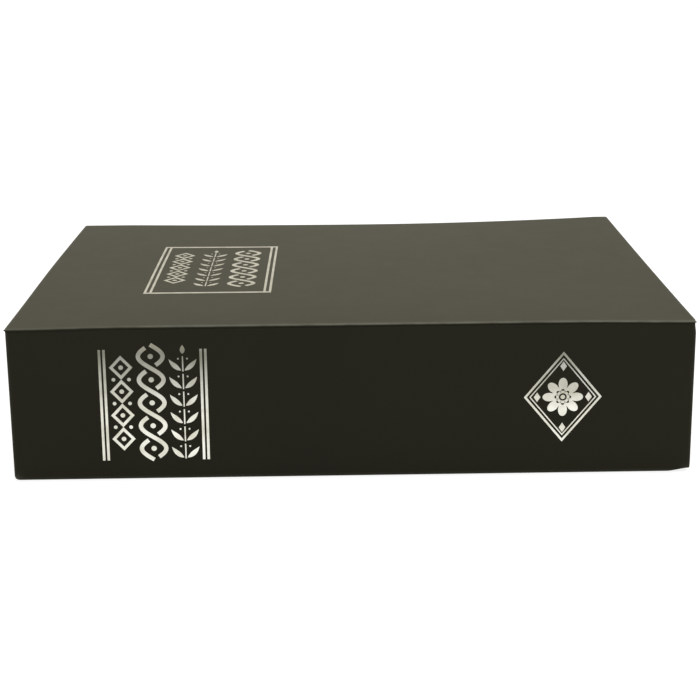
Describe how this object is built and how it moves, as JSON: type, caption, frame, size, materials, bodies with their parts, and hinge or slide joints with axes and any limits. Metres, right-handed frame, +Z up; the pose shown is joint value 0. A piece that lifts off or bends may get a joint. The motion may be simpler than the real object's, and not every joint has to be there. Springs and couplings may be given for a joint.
{
  "type": "book diversion safe",
  "caption": "Steel cash box with a keyed cam lock, hidden behind the hinged cover of a thick hardback book with imitation page edges.",
  "frame": {"origin": "middle of the underside of the closed book, on the outer face of its back cover", "axes": "+X from the head to the tail of the book, +Y from the spine to the fore-edge, +Z up through the front cover"},
  "size_m": [0.24, 0.155, 0.056],
  "materials": {
    "leatherette": "satin",
    "greyboard": "matte",
    "endpaper": "matte",
    "hinge_cloth": "matte",
    "page_plastic": "matte",
    "black_steel": "satin",
    "plated_steel": "satin",
    "lock_chrome": "polished",
    "lock_brass": "satin"
  },
  "bodies": {
    "case": {"back_cover_board": "greyboard", "spine_board": "greyboard", "spine_and_back_wrap": "leatherette", "back_pastedown": "endpaper", "page_edge_head": "page_plastic", "page_edge_tail": "page_plastic", "page_edge_fore": "page_plastic", "safe_box": "black_steel", "rim_frame": "black_steel", "box_hinge_leaf": "plated_steel", "hinge_pin": "plated_steel"},
    "front_cover": {"front_cover_board": "greyboard", "front_cover_wrap": "leatherette", "front_pastedown": "endpaper", "hinge_liner": "hinge_cloth"},
    "lid": {"lid_panel": "black_steel", "lid_hinge_leaf": "plated_steel", "lock_housing": "lock_chrome", "lock_spring_washer": "plated_steel", "lock_nut": "plated_steel"},
    "lock_plug": {"lock_plug": "lock_brass", "lock_cam": "plated_steel", "cam_washer": "plated_steel", "cam_screw": "plated_steel"}
  },
  "joints": [
    {"name": "cover_hinge", "type": "hinge", "parent": "case", "child": "front_cover", "pos_m": [0, -0.0775, 0.0557], "axis": [1, 0, 0], "range_deg": [0, 180]},
    {"name": "lid_hinge", "type": "hinge", "parent": "case", "child": "lid", "pos_m": [0, -0.0713, 0.0498], "axis": [1, 0, 0], "range_deg": [0, 108]},
    {"name": "lock_turn", "type": "hinge", "parent": "lid", "child": "lock_plug", "pos_m": [0, 0.0454, 0.0506], "axis": [0, 0, 1], "range_deg": [0, 90]}
  ],
  "couplings": [
    {"joint": "lid_hinge", "follows": "cover_hinge", "ratio": 0.6}
  ]
}
